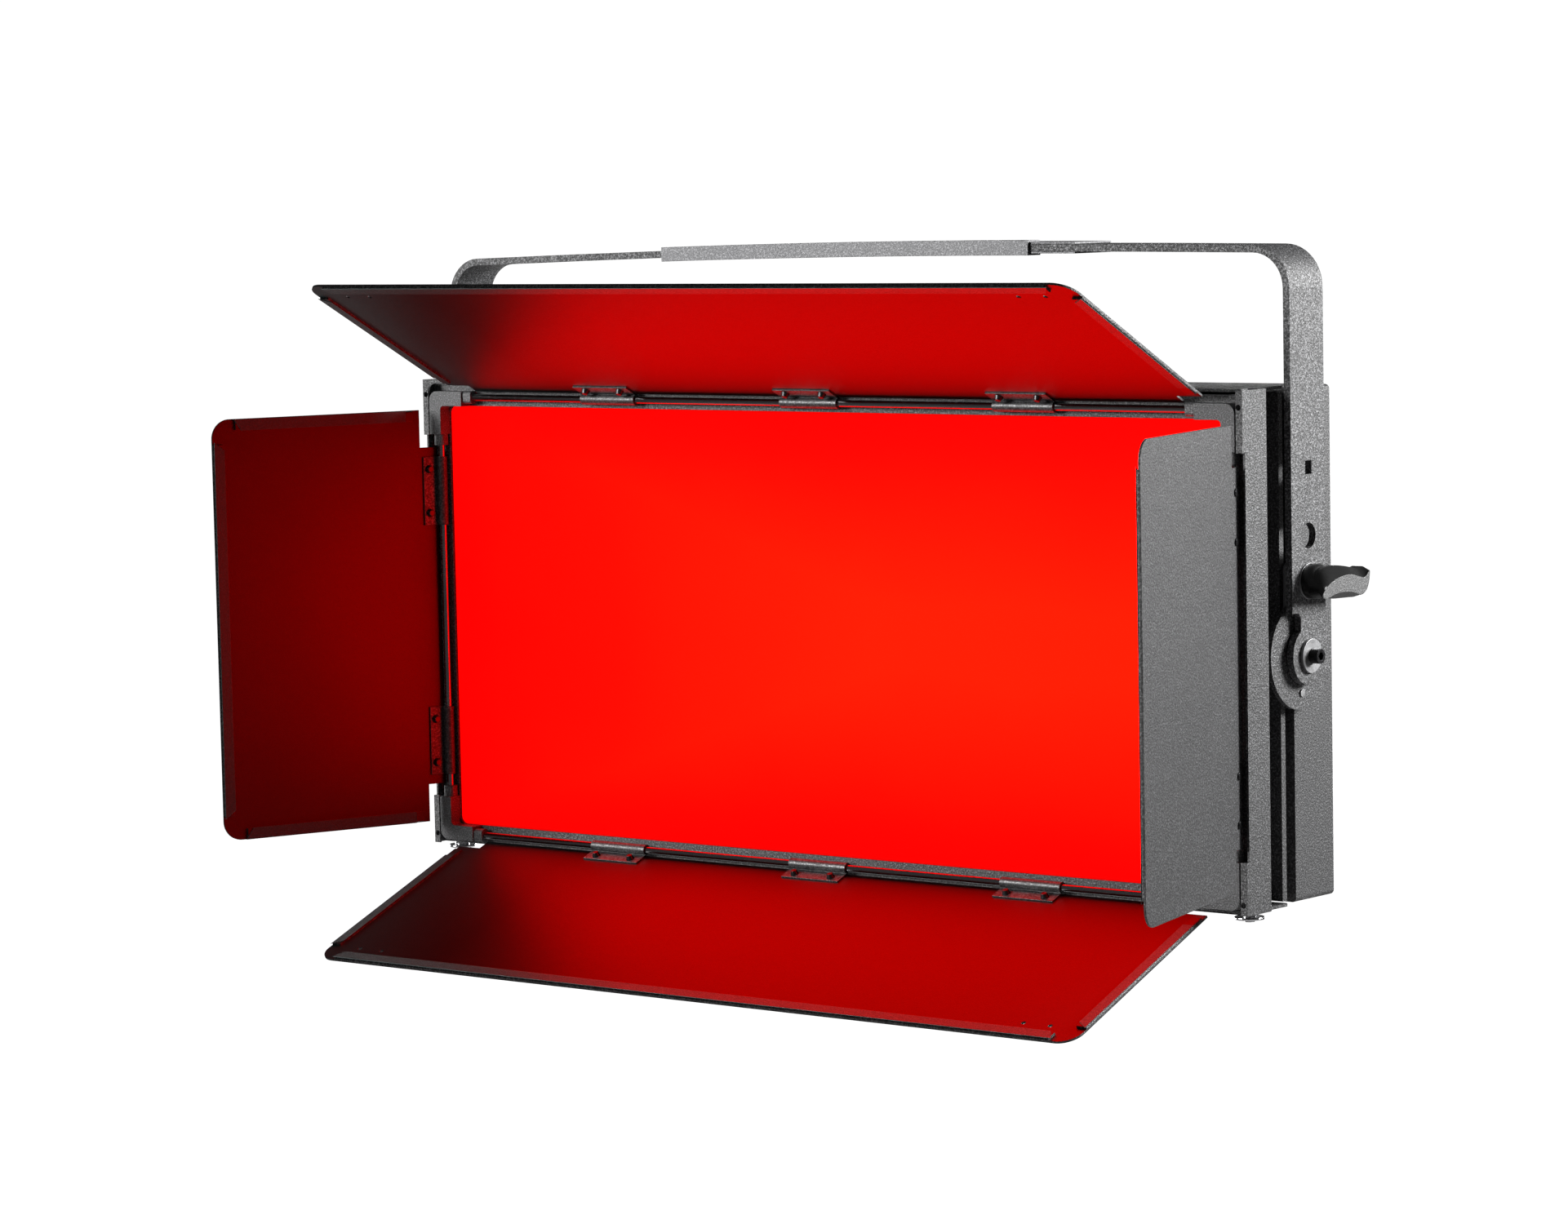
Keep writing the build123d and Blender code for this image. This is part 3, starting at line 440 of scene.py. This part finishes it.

# ---- barn doors: faces lit red, with more red painted on, and folded hems -----------------------
HEM_W = 8.4 * MM
HEM_T = 0.35 * MM
HEM_INSET = 16.0 * MM
HEM_BACK = 0.5 * MM
HEM_FROM_ROD = 26.0 * MM
HEM_RIM = 0.15 * MM
FACES_LIT_SIDE = 0.9
# Painted light: the hems are darker than the door paint and blue-green, in colour and reflections, to
# offset the red glow they catch so they read dark grey.
hem_finish = powder_coat(
    "door_hem", (0.0075, 0.0095, 0.0095), grain=1100.0, rough=0.42, bump=0.3, depth=0.5
)
hem_finish.fixed(Specular_Tint=(0.8, 1.0, 1.0, 1.0))


def door_axes(name, along):
    """Directions of a door: along its rod, out from its rod, and towards its lit side."""
    mesh = nodes[name].data
    largest = max(mesh.polygons, key=lambda polygon: polygon.area)
    lit = largest.normal.normalized()
    if lit.dot(diff_mid - largest.center) < 0:
        lit = -lit
    out = lit.cross(along)
    if out.dot(largest.center - diff_mid) < 0:
        out = -out
    return along, out, lit


def hems(name, body, along, out, lit):
    """Three folded strips round a door's free edges, mitred where they meet its rounded corners."""
    points = [v.co for v in nodes[name].data.vertices]
    reach = {
        axis: (min(p.dot(d) for p in points), max(p.dot(d) for p in points))
        for axis, d in (("along", along), ("out", out), ("lit", lit))
    }
    face = lit * reach["lit"][1]
    start, end = reach["along"]
    far = reach["out"][1] - HEM_BACK
    near = reach["out"][0] + HEM_FROM_ROD
    cut = 0.7 * HEM_W
    rounds = {
        "far": [(start + HEM_INSET, far), (end - HEM_INSET, far),
                (end - HEM_INSET - cut, far - HEM_W), (start + HEM_INSET + cut, far - HEM_W)],
        "start": [(start, near), (start, far - HEM_INSET),
                  (start + HEM_W, far - HEM_INSET - cut), (start + HEM_W, near)],
        "end": [(end, near), (end, far - HEM_INSET),
                (end - HEM_W, far - HEM_INSET - cut), (end - HEM_W, near)],
    }
    for part, outline in rounds.items():
        mesh = prism(f"{name}_hem_{part}", outline, face, along, out, lit, HEM_T, rim=HEM_RIM)
        new_piece(f"{name}_hem_{part}", mesh, body, hem_finish)


long_low, long_high, _ = box_of("door_top")
DOOR_PAINTED_GLOWS = {"top": long_door_painted_glow(long_low.x, long_high.x), "bottom": long_door_painted_glow(long_low.x, long_high.x),
              "left": short_door_painted_glow, "right": short_door_painted_glow}
for side_name, tint in DOOR_PAINTED_GLOWS.items():
    door = f"door_{side_name}"
    rod = Vector((1, 0, 0)) if side_name in ("top", "bottom") else Vector((0, 0, 1))
    directions = door_axes(door, rod)
    # Painted light: the faces towards the sheet get a lighter copy of the door paint, reddened by a
    # painted glow.
    painted_glow_face = powder_coat(
        f"{door}_painted_glow_face", shade(PAINT, 1.1), grain=1200.0, rough=0.45, bump=0.15, depth=0.12,
        tint=tint,
    )
    nodes[door].data.materials.append(painted_glow_face.material)
    for polygon in nodes[door].data.polygons:
        if polygon.normal.dot(directions[2]) > FACES_LIT_SIDE:
            polygon.material_index = 1
    hems(door, f"barn_door_{side_name}", *directions)

# ---- tilt lock lever ----------------------------------------------------------------------------
# Millimetres: x from the lock washer's outer face, y and z from the lock screw's axis.
HUB_R = 11.7
HUB_END_R = HUB_R - 0.3
HUB_STRAIGHT = 7.0
HUB_SIDES = 48
HUB_STEPS = 6
WING_START = 5.0
WING_END = 18.5
WING_MIDDLE = Vector((16.0, -3.0))
FLAT_END_AREA = 60 * MM**2
WING_OUTLINE = [
    (-13.5, -7.4), (-4.0, -0.6), (8.0, 2.9), (21.0, 3.6), (35.0, 0.6), (40.0, 1.6), (44.2, 4.6),
    (43.2, -2.5), (40.0, -8.2), (33.5, -11.0), (25.0, -8.9), (16.5, -7.8), (3.5, -8.0),
    (-10.0, -10.6),
]
BODY_OUTLINE = [
    (-10.8, -3.5), (-6.5, 7.5), (8.0, 10.0), (21.0, 8.8), (33.0, 6.6), (38.0, 6.6), (43.4, 6.6),
    (43.0, -2.2), (40.0, -9.2), (33.0, -12.2), (25.0, -12.2), (16.5, -12.0), (3.5, -11.4),
    (-8.0, -8.6),
]
# How far out each ring lies, and its radius or its outline and scale.
HUB_RINGS = ((0.1, HUB_R - 0.6), (0.5, HUB_R), (HUB_STRAIGHT, HUB_END_R))
WING_RINGS = (
    (WING_START, BODY_OUTLINE, 0.93), (WING_START + 0.8, BODY_OUTLINE, 1.0),
    (WING_END - 5.0, BODY_OUTLINE, 1.0), (WING_END - 0.8, WING_OUTLINE, 1.0),
    (WING_END - 0.2, WING_OUTLINE, 0.99), (WING_END, WING_OUTLINE, 0.965),
)


def closed_curve(points, steps=5):
    """A smooth closed curve through the points."""
    count = len(points)
    curve = []
    for index in range(count):
        before, start, end, after = (Vector(points[(index + k - 1) % count]) for k in range(4))
        for step in range(steps):
            t = step / steps
            bend = 2 * before - 5 * start + 4 * end - after
            twist = 3 * (start - end) + after - before
            curve.append(0.5 * (2 * start + (end - before) * t + bend * t**2 + twist * t**3))
    return curve


def lofted(build, rings):
    """Joins rings of points into a skin, with flat ends."""
    rows = [[build.verts.new(point) for point in ring] for ring in rings]
    count = len(rows[0])
    for low_row, high_row in zip(rows, rows[1:]):
        for k in range(count):
            after = (k + 1) % count
            build.faces.new((low_row[k], low_row[after], high_row[after], high_row[k]))
    build.faces.new(rows[0])
    build.faces.new(rows[-1])
    bmesh.ops.recalc_face_normals(build, faces=build.faces)


def lever():
    """A round hub that flattens into an S-curved wing with a raised tip."""
    _, _, axis = box_of("lock_screw")
    root = box_of("lock_washer")[1].x
    mesh = bpy.data.meshes.new("lock_lever_grip")
    build = bmesh.new()

    def at(x, y, z):
        return Vector((root + x * MM, axis.y + y * MM, axis.z + z * MM))

    turns = [2 * pi * k / HUB_SIDES for k in range(HUB_SIDES)]
    hub = [[at(x, r * cos(a), r * sin(a)) for a in turns] for x, r in HUB_RINGS]
    for step in range(1, HUB_STEPS + 1):
        t = step / HUB_STEPS
        across = HUB_END_R - 1.5 * t
        upright = HUB_END_R * (1 - t) ** 1.3 + 2.6 * t
        x = HUB_STRAIGHT + (WING_END - 0.6 - HUB_STRAIGHT) * t
        hub.append([at(x, across * cos(a) - 0.5 * t, upright * sin(a) - 4.4 * t) for a in turns])
    lofted(build, hub)
    lofted(build, [
        [at(x, *(WING_MIDDLE + (p - WING_MIDDLE) * k)) for p in closed_curve(outline)]
        for x, outline, k in WING_RINGS
    ])
    build.to_mesh(mesh)
    build.free()
    grip = new_piece(
        "lock_lever_grip", mesh, "lock_lever", FINISHES["handle_plastic"],
        smooth=True,
    )
    # Painted light: the wing's flat outer end gets a lighter paint than the rest of the grip, where
    # the key lamp falls on that side.
    outer = powder_coat("lever_face_painted_light", (0.06, 0.06, 0.06), grain=1300.0, bump=0.5, depth=0.5)
    mesh.materials.append(outer.material)
    face_x = root + (WING_END - 0.3) * MM
    for polygon in mesh.polygons:
        if polygon.center.x > face_x:
            polygon.material_index = 1
        if polygon.area > FLAT_END_AREA:
            polygon.use_smooth = False
    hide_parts("lock_handle")


lever()

# ---- small fittings on the back -----------------------------------------------------------------
BACK = Vector((0, 1, 0))
RIGHT = Vector((1, 0, 0))
UP = Vector((0, 0, 1))
DOME_SIDES = 24
DOME_STEPS = 4
RECESS_T = 0.05 * MM
FLANGE_PROUD = 0.5 * MM
SOCKET_SCREW_OFFSET = Vector((9.5, 0, 12.0)) * MM
SOCKET_SCREW_R = 2.4 * MM
SOCKET_SCREW_H = 1.0 * MM
MARK_T = 0.06 * MM
TICKS = 11
TICK_FROM = 11.5 * MM
TICK_LONG = 2.2 * MM
TICK_HALF = 0.3 * MM
KEY_MARK_UP = 7.2 * MM
KEY_MARK_HALF = 1.1 * MM
KEY_MARK_TALL = 1.6 * MM


def cross_outline(reach, width):
    """A plus sign, in metres from sizes in millimetres."""
    a = reach * MM
    b = width / 2 * MM
    return [
        (b, a), (b, b), (a, b), (a, -b), (b, -b), (b, -a),
        (-b, -a), (-b, -b), (-a, -b), (-a, b), (-b, b), (-b, a),
    ]


def islands(name):
    """Lowest and highest corners of a node's separate solids, from its mesh's loose parts."""
    build = bmesh.new()
    build.from_mesh(nodes[name].data)
    bmesh.ops.remove_doubles(build, verts=build.verts, dist=1e-6)
    left = set(build.verts)
    found = []
    while left:
        stack = [left.pop()]
        part = []
        while stack:
            vert = stack.pop()
            part.append(vert.co.copy())
            for edge in vert.link_edges:
                other = edge.other_vert(vert)
                if other in left:
                    left.remove(other)
                    stack.append(other)
        low_corner = Vector([min(p[k] for p in part) for k in range(3)])
        high_corner = Vector([max(p[k] for p in part) for k in range(3)])
        found.append((low_corner, high_corner))
    build.free()
    return sorted(found, key=lambda pair: tuple(round(c, 5) for c in pair[0]))


def dome(name, centre, radius, height, finish_name):
    """A low domed screw head facing back."""
    mesh = bpy.data.meshes.new(name)
    build = bmesh.new()
    turns = [2 * pi * k / DOME_SIDES for k in range(DOME_SIDES)]
    rings = []
    for step in range(DOME_STEPS + 1):
        rise = step / DOME_STEPS
        around = radius * (1 - 0.65 * rise**2)
        top = centre + BACK * height * rise
        rings.append([top + (RIGHT * cos(a) + UP * sin(a)) * around for a in turns])
    lofted(build, rings)
    build.to_mesh(mesh)
    build.free()
    new_piece(name, mesh, "head", FINISHES[finish_name], smooth=True)


# Painted shade: thin near-black crosses stand for the screw heads' recesses.
painted_recess_shade = plastic("recess_dark", (0.004, 0.004, 0.004), rough=0.7)
for number, (low_corner, high_corner) in enumerate(islands("rear_screws"), start=1):
    head_at = (low_corner + high_corner) / 2
    head_at.y = high_corner.y
    name = f"rear_screw_recess_{number}"
    mesh = prism(name, cross_outline(1.9, 0.8), head_at, RIGHT, UP, BACK, RECESS_T)
    new_piece(name, mesh, "head", painted_recess_shade)

panel_back = box_of("control_panel")[1].y
flange = panel_back + FLANGE_PROUD
for kind in ("power_sockets", "data_sockets"):
    for number, (low_corner, high_corner) in enumerate(islands(kind), start=1):
        centre = (low_corner + high_corner) / 2
        for hand, side_word in ((-1, "lower"), (1, "upper")):
            at = centre + hand * SOCKET_SCREW_OFFSET
            at.y = flange
            name = f"{kind}_{number}_{side_word}_screw"
            dome(name, at, SOCKET_SCREW_R, SOCKET_SCREW_H, "dark_screw")
            top = at + BACK * SOCKET_SCREW_H
            # Painted shade: a near-black cross standing for the screw's recess.
            mesh = prism(name + "_recess", cross_outline(0.8, 0.4), top, RIGHT, UP, BACK, RECESS_T)
            new_piece(name + "_recess", mesh, "head", painted_recess_shade)

mark_paint = plastic("mark_paint", (0.5, 0.5, 0.5), rough=0.5)
_, _, dial = box_of("encoder_knob")
dial.y = panel_back
tick = [(0, -TICK_HALF), (TICK_LONG, -TICK_HALF), (TICK_LONG, TICK_HALF), (0, TICK_HALF)]
for number in range(TICKS):
    angle = pi * (1.25 - 1.5 * number / (TICKS - 1))
    direction = RIGHT * -cos(angle) + UP * sin(angle)
    name = f"dial_tick_{number + 1}"
    start_at = dial + direction * TICK_FROM
    mesh = prism(name, tick, start_at, direction, direction.cross(BACK), BACK, MARK_T)
    new_piece(name, mesh, "head", mark_paint)
for number in range(1, 5):
    _, _, above = box_of(f"button_{number}")
    above.y = panel_back
    above.z += KEY_MARK_UP
    point = KEY_MARK_TALL if number % 2 else -KEY_MARK_TALL
    outline = [(-KEY_MARK_HALF, 0), (KEY_MARK_HALF, 0), (0, point)]
    name = f"key_mark_{number}"
    mesh = prism(name, outline, above, RIGHT, UP, BACK, MARK_T)
    new_piece(name, mesh, "head", mark_paint)

# ---- stage --------------------------------------------------------------------------------------
low, high = cad_box
middle = (low + high) / 2
FLOOR_DROP = 1.0
FLOOR_SIZE = 40.0
SURROUND_SEEN = 1.05
AMBIENT = 0.09


def floor():
    """A plain pale floor under the hanging light, which the camera sees as white."""
    mesh = bpy.data.meshes.new("floor")
    build = bmesh.new()
    bmesh.ops.create_grid(build, x_segments=1, y_segments=1, size=FLOOR_SIZE / 2)
    build.to_mesh(mesh)
    build.free()
    obj = link(bpy.data.objects.new("floor", mesh))
    obj.location = (middle.x, middle.y, low.z - FLOOR_DROP)
    finish = Finish("floor_paper")
    drift = finish.noise(0.6)
    finish.colour(finish.ramp(drift, [(0.3, (0.86, 0.86, 0.86)), (0.7, (0.88, 0.88, 0.88))]))
    finish.fixed(Roughness=0.9, Emission_Color=(1.0, 1.0, 1.0, 1.0))
    seen = finish.add("ShaderNodeLightPath").outputs["Is Camera Ray"]
    finish.join(seen, finish.shader.inputs["Emission Strength"])
    mesh.materials.append(finish.material)


def softbox(name, at, size, power, spare=None):
    """A rectangular studio light aimed at the object. Given spare, even an empty one, it lights
    the object alone, without the nodes in spare."""
    data = bpy.data.lights.new(name, "AREA")
    data.shape = "RECTANGLE"
    data.size, data.size_y = size
    data.energy = power
    obj = link(bpy.data.objects.new(name, data))
    obj.location = at
    direction = middle - obj.location
    obj.rotation_mode = "QUATERNION"
    obj.rotation_quaternion = direction.to_track_quat("-Z", "Y")
    if spare is not None:
        lit = bpy.data.collections.new(name + "_lit")
        for part, node in nodes.items():
            if part not in spare:
                lit.objects.link(node)
        for piece in made_pieces:
            lit.objects.link(piece)
        obj.light_linking.receiver_collection = lit


def world():
    """A white surround: it shows white and lights the object softly."""
    made = bpy.data.worlds.new("studio")
    bpy.context.scene.world = made
    made.use_nodes = True
    tree = made.node_tree
    tree.nodes.clear()
    seen = tree.nodes.new("ShaderNodeBackground")
    seen.inputs["Color"].default_value = (1.0, 1.0, 1.0, 1.0)
    seen.inputs["Strength"].default_value = SURROUND_SEEN
    ambient = tree.nodes.new("ShaderNodeBackground")
    ambient.inputs["Color"].default_value = (1.0, 1.0, 1.0, 1.0)
    ambient.inputs["Strength"].default_value = AMBIENT
    path = tree.nodes.new("ShaderNodeLightPath")
    mix = tree.nodes.new("ShaderNodeMixShader")
    out = tree.nodes.new("ShaderNodeOutputWorld")
    tree.links.new(path.outputs["Is Camera Ray"], mix.inputs["Fac"])
    tree.links.new(ambient.outputs["Background"], mix.inputs[1])
    tree.links.new(seen.outputs["Background"], mix.inputs[2])
    tree.links.new(mix.outputs["Shader"], out.inputs["Surface"])


floor()
world()
RED_LIT = ("door_top", "door_bottom", "door_left", "diffuser", "hinge_rods")
softbox("key_back_right", (1.5, 1.0, 0.36), (0.7, 0.7), 78.0)
softbox("rim_back", (0.95, 2.3, 0.5), (0.7, 1.5), 4.0)
softbox("fill_front_left", (-1.9, -2.7, 0.7), (1.4, 1.4), 165.0, spare=RED_LIT)
softbox("left", (-2.8, 0.5, -0.25), (1.6, 1.6), 60.0, spare=RED_LIT)
softbox("rear", (-1.4, 3.0, -0.5), (1.8, 1.2), 90.0, spare=())

# ---- camera -------------------------------------------------------------------------------------
CAMERA_AT = Vector((2.18895, -2.7820, 0.0544))
CAMERA_YAW = 0.6833
CAMERA_PITCH = -0.1010
CAMERA_ROLL = -0.0204
LENS = 115.5
SENSOR = 36.0
SHIFT = (0.0004, 0.0449)


def camera():
    """The camera looks along its heading, tipped down a little, with a small shift."""
    ahead = Vector((
        -sin(CAMERA_YAW) * cos(CAMERA_PITCH), cos(CAMERA_YAW) * cos(CAMERA_PITCH), sin(CAMERA_PITCH)
    ))
    right = Vector((cos(CAMERA_YAW), sin(CAMERA_YAW), 0.0))
    up = right.cross(ahead)
    across = cos(CAMERA_ROLL) * right + sin(CAMERA_ROLL) * up
    upright = -sin(CAMERA_ROLL) * right + cos(CAMERA_ROLL) * up
    data = bpy.data.cameras.new("camera")
    data.lens = LENS
    data.sensor_width = SENSOR
    data.shift_x, data.shift_y = SHIFT
    data.clip_end = 100.0
    obj = link(bpy.data.objects.new("camera", data))
    turned = Matrix((across, upright, -ahead)).transposed().to_4x4()
    obj.matrix_world = Matrix.Translation(CAMERA_AT) @ turned
    bpy.context.scene.camera = obj


camera()
bpy.context.scene.view_settings.view_transform = "Standard"
